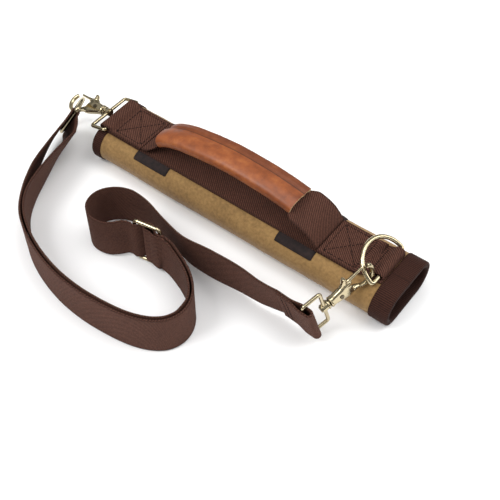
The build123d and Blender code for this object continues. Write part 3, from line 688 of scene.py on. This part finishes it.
# both legs narrow where they enter the leather
tail_leg = arch_between(-math.inf, -80.0)
handle_leg("handle_tail_leg_strip", tail_leg,
           [WEB_WIDTH - 14.0 * clamp01((x + 93.0) / 8.0) ** 1.3 for x, z in tail_leg],
           "handle_tail_leg")
mouth_leg = arch_between(38.0, math.inf)
handle_leg("handle_mouth_leg_strip", mouth_leg,
           [WEB_WIDTH - 12.0 * clamp01((49.5 - x) / 8.0) ** 1.2 for x, z in mouth_leg],
           "handle_mouth_leg")
ribbon("handle_core_strip", flat(arch_between(-84.5, 44.6)), 22.0, WEB_THICK, "grip",
       WEBBING, "handle_webbing", columns=8)


def sweep(name, path, outlines, mats, node, sharp=None):
    """Sweep outlines(x), closed lists of (across, normal), along an (x, z) path on the grip.

    One outline gives a solid; an outer and an inner one give a walled tube. The first
    material covers the outside, the last one everything else.
    """
    verts, uvs = [], []
    length = 0.0
    last = len(path) - 1
    for i, (x, z) in enumerate(path):
        before, after = path[max(i - 1, 0)], path[min(i + 1, last)]
        span = math.hypot(after[0] - before[0], after[1] - before[1])
        run_x, run_z = (after[0] - before[0]) / span, (after[1] - before[1]) / span
        if i:
            length += math.dist(path[i], path[i - 1])
        for outline in outlines:
            ring = outline(x)
            size = len(ring)
            around = 0.0
            for k, (across, normal) in enumerate(ring):
                verts.append((x - run_z * normal, across, z + run_x * normal))
                uvs.append((length, around))
                around += math.dist(ring[k], ring[(k + 1) % size])
    other = len(mats) - 1
    if len(outlines) == 2:
        faces = walled_faces(last + 1, size)
        face_mats = [0, other] * (last * size) + [other] * (2 * size)
    else:
        faces = side_faces(last + 1, size)
        face_mats = [0] * len(faces) + [other] * 2
        faces += [tuple(range(base, base + size)) for base in (0, last * size)]
    make(name, verts, faces, "grip", mats, node, uvs, face_mats=face_mats, sharp=sharp)


GRIP_MID = 2.25     # middle of the leather wrap above the arch


def grip_outline(x):
    """Wide flat wrap: a valley along the lap on the +y side and a full -y edge."""
    count = 44
    points = []
    for k in range(count):
        angle = 2 * math.pi * k / count
        sine = math.sin(angle)
        across = 14.0 * signed_power(math.cos(angle), 0.52)
        normal = GRIP_MID + 4.9 * signed_power(sine, 0.62)
        if sine > 0:
            valley = math.exp(-((across - 4.2) / 1.3) ** 2)
            swell = math.exp(-((across + 6.0) / 6.5) ** 2)
            flatter = math.exp(-((across - 10.0) / 3.5) ** 2)
            lap_step = 1 / (1 + math.exp((across - 3.7) * 2.5)) - 0.5
            normal += -1.9 * valley + 1.0 * swell - 0.8 * flatter + 0.7 * lap_step
        wave = (0.30 * wobble(x * 0.045, across * 0.09, 5.0)
                + 0.12 * wobble(x * 0.17, across * 0.2, 8.0))
        size = math.hypot(across, normal - GRIP_MID) or 1.0
        points.append((across + across / size * wave,
                       normal + (normal - GRIP_MID) / size * wave))
    return points


def grip_inner_outline(x):
    return [(across * 0.865, GRIP_MID + (normal - GRIP_MID) * 0.66)
            for across, normal in grip_outline(x)]


def roll_outline(x):
    """Rounded oblong, the same all along x."""
    angles = [2 * math.pi * k / 24 for k in range(24)]
    return [(8.8 * signed_power(math.cos(angle), 0.6),
             3.0 + 1.75 * signed_power(math.sin(angle), 0.6)) for angle in angles]


sweep("leather_grip_wrap", arch_between(-85.5, 45.4), (grip_outline, grip_inner_outline),
      (LEATHER, RAW_EDGE), "leather_grip", sharp=60)
sweep("grip_foam_roll", arch_between(-82.0, 42.0), (roll_outline,), (ROLL,),
      "grip_padding")


# ---------------------------------------------------------------- reinforcement patches
def patch_tabs(name, middle_x, node):
    """A pair of tabs curving down the sleeve's shoulders, one on each side."""
    half_length, drop, bevel = 17.0, 14, 1.2
    rows, columns = 16, 14      # along x, down the shoulder
    stride = columns + 1
    layer_size = (rows + 1) * stride
    verts, uvs, faces = [], [], []
    for side in (-1, 1):
        base = len(verts)
        for is_outer in (True, False):
            for i in range(rows + 1):
                along = -1 + 2 * i / rows
                for j in range(columns + 1):
                    down = j / columns
                    rim = min(1.0, (1 - abs(along)) * half_length / bevel,
                              (1 - down) * drop / bevel)
                    angle = math.radians(90 - (8 + down * 36))
                    x = middle_x + along * (half_length - (bevel if down > 0.93 else 0.0))
                    height = 0.05
                    if is_outer:
                        # a sewn groove runs just inside the rim
                        groove = 0.80 < down < 0.88 or 0.84 < abs(along) < 0.92
                        height = 0.35 + 0.75 * math.sqrt(rim) - (0.25 if groove else 0.0)
                    radius = HALF_HEIGHT + height
                    verts.append((x, side * (FLAT_HALF + radius * math.cos(angle)),
                                  CENTRE_Z + radius * math.sin(angle)))
                    uvs.append((x, down * drop))
        for layer in (0, 1):
            for i in range(rows):
                for j in range(columns):
                    here = base + layer * layer_size + i * stride + j
                    quad = (here, here + 1, here + stride + 1, here + stride)
                    faces.append(quad[::-1] if layer else quad)
        for i in range(rows):
            for j in (0, columns):
                here = base + i * stride + j
                beside = here + stride
                faces.append((here, beside, beside + layer_size, here + layer_size))
        for j in range(columns):
            for i in (0, rows):
                here = base + i * stride + j
                faces.append((here, here + 1, here + 1 + layer_size, here + layer_size))
    make(name, verts, faces, "carrier", PATCH, node, uvs)


patch_tabs("tail_patch_tabs", -86.0, "tail_anchor_patch")
patch_tabs("mouth_patch_tabs", 56.0, "mouth_anchor_patch")


# ---------------------------------------------------------------- stitches
def stitches(name, seams, node=None):
    """Humped capsules along straight seams, each given as (start, end, normal)."""
    length, gap, radius = 2.6, 0.5, 0.32
    steps, size = 6, 6
    verts, uvs, faces = [], [], []
    for start, end, normal in seams:
        total = math.dist(start, end)
        run = unit(add(end, start, -1.0))
        side = unit(cross(normal, run))
        begin = 0.2
        while begin + length < total:
            faces += tube_faces(steps + 1, size, base=len(verts))
            for k in range(steps + 1):
                t = k / steps
                point = add(start, run, begin + length * t)
                ring = radius * (0.35 + 0.65 * math.sin(math.pi * (t * 0.9 + 0.05)) ** 0.5)
                lift = -0.22 + 0.42 * math.sin(math.pi * t)
                for j in range(size):
                    angle = 2 * math.pi * j / size
                    verts.append(add(add(point, side, ring * math.cos(angle)),
                                     normal, lift + ring * math.sin(angle)))
                    uvs.append((begin + length * t, ring * j))
            begin += length + gap
    make(name, verts, faces, "carrier", THREAD, node, uvs)


def box_seams(start, end, z):
    """Rectangle with both diagonals."""
    half = 15.6
    corners = [(start, -half, z), (end, -half, z), (end, half, z), (start, half, z)]
    pairs = ((0, 1), (1, 2), (2, 3), (3, 0), (0, 2), (3, 1))
    return [(corners[i], corners[j], UP) for i, j in pairs]


STITCH_LIFT = 0.68      # above the middle of a webbing layer
stitches("tail_box_stitches", box_seams(-129.5, -103.0, UPPER_Z + STITCH_LIFT),
         "tail_box_stitching")
mouth_z = LOWER_Z + STITCH_LIFT
stitches("mouth_box_stitches", box_seams(77.0, 105.0, mouth_z)
         + [((115.6, -10.5, mouth_z), (115.6, 17.0, mouth_z), UP)], "mouth_box_stitching")

# ---------------------------------------------------------------- hooks
# A hook's frame: u runs from the swivel to the bow, w is the normal of its broad face and
# v = w x u. The eye lies at u = -EYE_REACH and the bow's centre at u = BOW_U.
EYE_REACH = 15.4
BOW_U, BOW_RADIUS = 36.2, 8.7
TAIL_AXIS = unit((-0.97, 0.0, -0.243))
TAIL_FACE = square((0.2305, 0.3172, -0.9199), TAIL_AXIS)
TAIL_ORIGIN = add(TAIL_EYE, TAIL_AXIS, EYE_REACH)
MOUTH_AXIS = unit((0.276, 0.9202, 0.2777))
MOUTH_FACE = square((0.9252, -0.3327, 0.1826), MOUTH_AXIS)
MOUTH_ORIGIN = add((115.89, -22.91, 39.64), MOUTH_AXIS, -BOW_U)

# u, half width, middle in v, half thickness
HOOK_TAPER = [
    (5.2, 4.0, 0.0, 3.0), (6.4, 4.4, 0.0, 3.3), (8.0, 4.2, 0.0, 3.0), (10.5, 4.5, 0.0, 3.0),
    (13.0, 5.0, 0.0, 3.15), (16.0, 5.6, -0.1, 3.3), (19.0, 6.1, -0.3, 3.25),
    (21.5, 6.2, -0.8, 3.1), (23.6, 5.6, -1.6, 2.8), (25.2, 4.4, -2.6, 2.4)]
# the tubes below: u, v, half thickness, half width
BOW_ROOT = [(19.0, -2.6, 2.9, 3.0), (22.5, -3.6, 2.8, 2.8), (25.8, -4.2, 2.6, 2.6)]
NOSE = [(16.0, 3.0, 2.9, 2.6), (20.0, 4.2, 2.9, 2.5), (24.4, 4.7, 2.5, 1.9),
        (26.4, 4.2, 1.4, 1.2)]
GATE = [(13.6, 1.8, 1.2, 2.4), (17.5, 4.2, 1.5, 2.9), (20.5, 6.6, 1.9, 2.8),
        (25.0, 6.2, 1.5, 1.5), (31.0, 6.9, 1.25, 1.2), (38.3, 8.0, 1.1, 1.05)]
LEVER = [(20.6, 6.6, 2.3, 2.6), (21.3, 9.6, 2.45, 1.9), (21.8, 11.5, 2.3, 1.2)]
# u, radius of the turned swivel post and collars
POST_PROFILE = [
    (-3.4, 0.02), (-3.4, 2.2), (-3.1, 2.65), (-2.6, 2.65), (-2.5, 1.6), (2.5, 1.6),
    (2.55, 3.4), (2.8, 3.85), (3.5, 3.95), (3.9, 3.7), (4.0, 3.05), (4.6, 2.9), (5.0, 3.3),
    (5.2, 4.1), (5.8, 4.4), (6.4, 4.2), (6.8, 3.2), (6.8, 0.02)]


def circle(count):
    angles = [2 * math.pi * j / count for j in range(count)]
    return [(math.cos(angle), math.sin(angle)) for angle in angles]


def tube(rows, size):
    """Vertices and faces of an elliptical tube whose middle line lies in the u, v plane."""
    verts = []
    last = len(rows) - 1
    for i, (along, across, thick, wide) in enumerate(rows):
        before, after = rows[max(i - 1, 0)], rows[min(i + 1, last)]
        run = unit((after[0] - before[0], after[1] - before[1], 0.0))
        for cosine, sine in circle(size):
            verts.append((along + run[1] * wide * cosine, across - run[0] * wide * cosine,
                          thick * sine))
    return verts, tube_faces(len(rows), size)


def taper():
    verts = []
    for along, wide, middle, thick in HOOK_TAPER:
        for cosine, sine in circle(28):
            verts.append((along, middle + wide * signed_power(cosine, 0.7),
                          thick * signed_power(sine, 0.6)))
    return verts, tube_faces(len(HOOK_TAPER), 28)


def bow():
    """From the body's -v side round to the tip beside the gate."""
    rows = list(BOW_ROOT)
    for k in range(1, 41):
        t = k / 40
        angle = math.radians(214 + (407 - 214) * t)
        radius = 1.95 if t < 0.5 else 2.0 - 0.25 * max(0.0, (t - 0.9) / 0.1)
        rows.append((BOW_U + BOW_RADIUS * math.cos(angle), BOW_RADIUS * math.sin(angle),
                     radius, radius))
    return tube(rows, 16)


def swivel_post():
    verts = [(along, radius * cosine, radius * sine)
             for along, radius in POST_PROFILE for cosine, sine in circle(32)]
    return verts, tube_faces(len(POST_PROFILE), 32)


def merge(parts):
    verts, faces = [], []
    for part_verts, part_faces in parts:
        base = len(verts)
        verts += part_verts
        faces += [tuple(i + base for i in face) for face in part_faces]
    return verts, faces


def fuse(obj, voxel, rounds):
    """Melt overlapping parts into one soft casting."""
    bpy.context.view_layer.objects.active = obj
    remesh = obj.modifiers.new("remesh", "REMESH")
    remesh.mode = "VOXEL"
    remesh.voxel_size = voxel * MM
    remesh.use_smooth_shade = True
    soften = obj.modifiers.new("soften", "SMOOTH")
    soften.factor = 0.5
    soften.iterations = rounds


def hook(tag, origin, axis, face_normal):
    side = cross(face_normal, axis)

    def part(suffix, shape, body, node=None, sharp=None):
        verts, faces = shape
        placed = [add(add(add(origin, axis, v[0]), side, v[1]), face_normal, v[2])
                  for v in verts]
        return make(tag + suffix, placed, faces, body, BRASS, node, sharp=sharp)

    casting = part("_hook_casting", merge([taper(), bow(), tube(NOSE, 16)]), tag + "_hook",
                   tag + "_hook_body")
    fuse(casting, voxel=0.42, rounds=3)
    part("_hook_swivel_post", swivel_post(), tag + "_hook", sharp=40)
    trigger = part("_hook_trigger", merge([tube(GATE, 14), tube(LEVER, 14)]), tag + "_gate",
                   tag + "_hook_gate")
    fuse(trigger, voxel=0.36, rounds=2)


hook("tail", TAIL_ORIGIN, TAIL_AXIS, TAIL_FACE)
hook("strap", MOUTH_ORIGIN, MOUTH_AXIS, MOUTH_FACE)

# ---------------------------------------------------------------- shoulder strap
STRAP_THICK = 1.5
STRAP_Z = 19.6          # middle of the strap where it stands on edge
STRAP_CLEARANCE = 0.3   # between the strap and a bar it wraps
LAYER_OFFSET = 1.5      # each doubled layer from the line between them


def local(frame_axes, along, across):
    centre, along_dir, across_dir, _ = frame_axes
    return add(add(centre, along_dir, along), across_dir, across)


def stations_in(frame_axes, offsets):
    """Strap stations in a frame (centre, along, across, width direction)."""
    return [local(frame_axes, along, across) + frame_axes[3] for along, across in offsets]


# frames of the mouth hook's eye, the slider and the strap's D-ring
eye_bar = square(UP, MOUTH_AXIS)
eye_along = square((0.979, -0.026, -0.167), eye_bar)
eye_across = cross(eye_bar, eye_along)
EYE_FRAME = (add(MOUTH_ORIGIN, MOUTH_AXIS, -EYE_REACH), eye_along, eye_across, eye_bar)
slide_along = unit((0.985, 0.17, 0.0))
SLIDE_FRAME = ((-36.0, -83.5, 23.0), slide_along, cross(UP, slide_along), UP)
ring_bar = unit((0.5331, 0.0783, 0.8424))
ring_along = square((-0.2947, 0.9505, 0.0981), ring_bar)
RING_FRAME = ((-179.16, -22.66, 22.0), ring_along, cross(ring_along, ring_bar), ring_bar)

# x, y, height above STRAP_Z, width direction, from the eye towards the slider
SINGLE_RUN = [
    (60.0, -68.5, 3.0, 0.06, -0.2, 0.98), (38.0, -67.0, 0.6, 0.0, -0.12, 1.0),
    (12.0, -68.5, 0.2, 0, -0.08, 1.0), (-12.0, -69.0, 0, 0, -0.16, 1.0),
    (-35.0, -63.5, 0, 0, -0.2, 1.0), (-56.0, -59.0, 0, 0, -0.12, 1.0),
    (-74.0, -60.5, 0, 0, 0, 1.0), (-87.0, -67.5, 0, 0, 0, 1.0), (-93.5, -79.0, 0, 0, 0, 1.0),
    (-91.0, -91.5, 0, 0, 0, 1.0), (-80.0, -99.0, 0, 0, 0, 1.0), (-66.0, -97.5, 0.8, 0, 0, 1.0)]
# x, y of the line between the doubled layers, from the slider to the D-ring
DOUBLE_RUN = [
    (-14.0, -84.2), (0.0, -88.6), (13.0, -95.5), (23.5, -104.5), (29.5, -115.0),
    (30.5, -126.0), (26.0, -136.5), (16.0, -144.3), (2.0, -149.6), (-16.0, -152.6),
    (-38.0, -154.0), (-61.0, -152.4), (-84.0, -147.2), (-106.0, -138.6), (-125.0, -126.8),
    (-140.5, -111.5), (-152.0, -93.0), (-160.5, -73.0)]
# along, across in the slider's frame: over its bars, and the start of the way back
WEAVE = [(-14.0, -1.6), (-11.0, -2.75), (-8.0, -1.4), (-4.5, 2.6), (-1.5, 4.35),
         (1.5, 4.35), (4.5, 2.6), (8.0, -1.4), (11.0, -2.75), (14.0, -1.9)]
RETURN = [(14.0, -4.3), (11.0, -5.1), (7.0, -4.3), (3.5, -2.75), (1.2, -2.45)]


def eye_loop():
    """Folded strap end round the eye's bar."""
    wrap = 1.5 + STRAP_CLEARANCE + STRAP_THICK / 2
    offsets = [(-24.0, -0.82), (-18.0, -0.82), (-12.0, -0.9), (-7.0, -1.7),
               (-3.0, -wrap + 0.05), (0.0, -wrap), (5.0, -wrap)]
    offsets += [(5.0 + wrap * math.sin(math.radians(k)), -wrap * math.cos(math.radians(k)))
                for k in (30, 60, 90, 120, 150)]
    offsets += [(5.0, wrap), (0.0, wrap), (-3.0, wrap - 0.05), (-7.0, 1.7), (-12.0, 0.9),
                (-18.0, 0.82), (-24.0, 0.82)]
    return stations_in(EYE_FRAME, offsets)


def ring_loop():
    """Strap round the D-ring's bar, from the outer layer to the inner one."""
    wrap = 1.8 + STRAP_CLEARANCE + STRAP_THICK / 2
    offsets = [(-18.0, 8.0), (-9.0, 5.8), (-3.0, wrap), (0.0, wrap)]
    offsets += [(wrap * math.sin(math.radians(k)), wrap * math.cos(math.radians(k)))
                for k in (30, 60, 90, 120, 150)]
    offsets += [(0.0, -wrap), (-3.0, -wrap), (-8.0, -3.0), (-16.0, -3.8)]
    return stations_in(RING_FRAME, offsets)


def doubled_layer(side):
    """One layer of the doubled run; side +1 is the outer one."""
    out = []
    last = len(DOUBLE_RUN) - 1
    spread = {last - 1: 1.6, last: 3.4}     # the layers part as they near the D-ring
    for i, (x, y) in enumerate(DOUBLE_RUN):
        before, after = DOUBLE_RUN[max(i - 1, 0)], DOUBLE_RUN[min(i + 1, last)]
        run_x, run_y = after[0] - before[0], after[1] - before[1]
        size = math.hypot(run_x, run_y)
        shift = side * (LAYER_OFFSET + spread.get(i, 0.0))
        out.append((x + shift * run_y / size, y - shift * run_x / size,
                    STRAP_Z + (1.6 if i == 0 else 0.0), 0.12 * max(0.0, i - 14), 0.0, 1.0))
    return out


def shoulder_strap():
    at_eye, at_ring = eye_loop(), ring_loop()
    weave = stations_in(SLIDE_FRAME, WEAVE)
    # the end closes round the slider's middle bar
    back = stations_in(SLIDE_FRAME, RETURN + [
        (-2.5 * math.sin(math.radians(k)), -2.5 * math.cos(math.radians(k)))
        for k in (20, 55, 90, 125, 160)])
    single = [(x, y, STRAP_Z + z, *width_dir) for x, y, z, *width_dir in SINGLE_RUN]
    stations = at_eye[:-1]
    stations += smooth([at_eye[-1]] + single + stations_in(SLIDE_FRAME, [(-19.0, -2.4)]))
    stations += weave
    stations += smooth([weave[-1]] + doubled_layer(-1) + [at_ring[-1]])[1:-1]
    stations += at_ring[::-1]
    stations += smooth([at_ring[0]] + doubled_layer(1)[::-1] + [back[0]])[1:-1]
    stations += back
    ribbon("shoulder_strap_web", smooth(stations, 2.2), 38.0, STRAP_THICK, "carrier", STRAP,
           "shoulder_strap", columns=12, tip=0.5)


def strap_end_stitches():
    """Two rows across the folded end, on both faces."""
    seams = []
    for along in (-19.5, -15.5):
        for side in (-1, 1):
            middle = local(EYE_FRAME, along, side * 1.62)
            seams.append((add(middle, eye_bar, -17.0), add(middle, eye_bar, 17.0),
                          tuple(side * value for value in eye_across)))
    stitches("strap_end_stitches", seams)


shoulder_strap()
strap_end_stitches()


# ---------------------------------------------------------------- floor, light, camera
# (positions in metres, apart from the camera's)
def link_object(name, data):
    obj = bpy.data.objects.new(name, data)
    bpy.context.scene.collection.objects.link(obj)
    return obj


def build_floor():
    mesh = bpy.data.meshes.new("floor")
    mesh.from_pydata([(-6, -6, 0), (6, -6, 0), (6, 6, 0), (-6, 6, 0)], [], [(0, 1, 2, 3)])
    floor = link_object("floor", mesh)
    material, shader = new_material("pale_floor")
    shader.surface(Base_Color=(0.93, 0.93, 0.93), Roughness=0.9, Specular_IOR_Level=0.1)
    mesh.materials.append(material)


def build_world():
    """Even white light, with a banded sky that only reflections see."""
    world = bpy.data.worlds.new("soft_sky")
    bpy.context.scene.world = world
    world.use_nodes = True
    shader = Shader(world.node_tree)
    plain = world.node_tree.nodes["Background"]
    shader.fill(plain, {"Color": (1.0, 1.0, 1.0), "Strength": 0.75})
    direction, = shader.coordinates("Generated")
    bands = [(0.0, 0.05), (0.30, 0.07), (0.52, 0.55), (0.74, 0.12), (0.95, 0.75)]
    sky = shader.ramp(shader.split(direction)[2], [(stop, (grey,) * 3) for stop, grey in bands])
    banded = shader.node("ShaderNodeBackground", {"Color": sky, "Strength": 0.9})
    rays = shader.node("ShaderNodeLightPath", {})
    mixed = shader.node("ShaderNodeMixShader", {
        0: shader.signal(rays, "Is Glossy Ray"), 1: shader.signal(plain),
        2: shader.signal(banded)})
    shader.fill(world.node_tree.nodes["World Output"], {0: shader.signal(mixed)})


def area_light(name, location, size, power):
    """Square light aimed at a point just on the -y side of the origin."""
    target = (0, -0.05, 0)
    light = bpy.data.lights.new(name, "AREA")
    light.shape = "SQUARE"
    light.size = size
    light.energy = power
    lamp = link_object(name, light)
    lamp.location = location
    aim = Vector(target) - Vector(location)
    lamp.rotation_euler = aim.to_track_quat("-Z", "Y").to_euler()


def build_camera():
    camera = bpy.data.cameras.new("camera")
    camera.lens = 68.4
    camera.sensor_width = 36.0
    camera.sensor_fit = "HORIZONTAL"
    camera.clip_start = 0.01
    obj = link_object("camera", camera)
    right, up = (0.7960, 0.6053, 0.0), (-0.4704, 0.6186, 0.6293)
    back = (0.3809, -0.5009, 0.7771)
    place = (302.4, -401.6, 580.5)      # mm
    rows = [(right[i], up[i], back[i], place[i] * MM) for i in range(3)]
    obj.matrix_world = Matrix((*rows, (0, 0, 0, 1)))
    bpy.context.scene.camera = obj


build_floor()
build_world()
area_light("key", (-0.45, -0.75, 1.15), size=0.7, power=11.0)
area_light("top", (0.35, 0.25, 1.3), size=0.9, power=8.0)
area_light("rim", (0.9, 0.7, 0.7), size=0.5, power=3.0)
build_camera()
bpy.context.scene.view_settings.view_transform = "Standard"
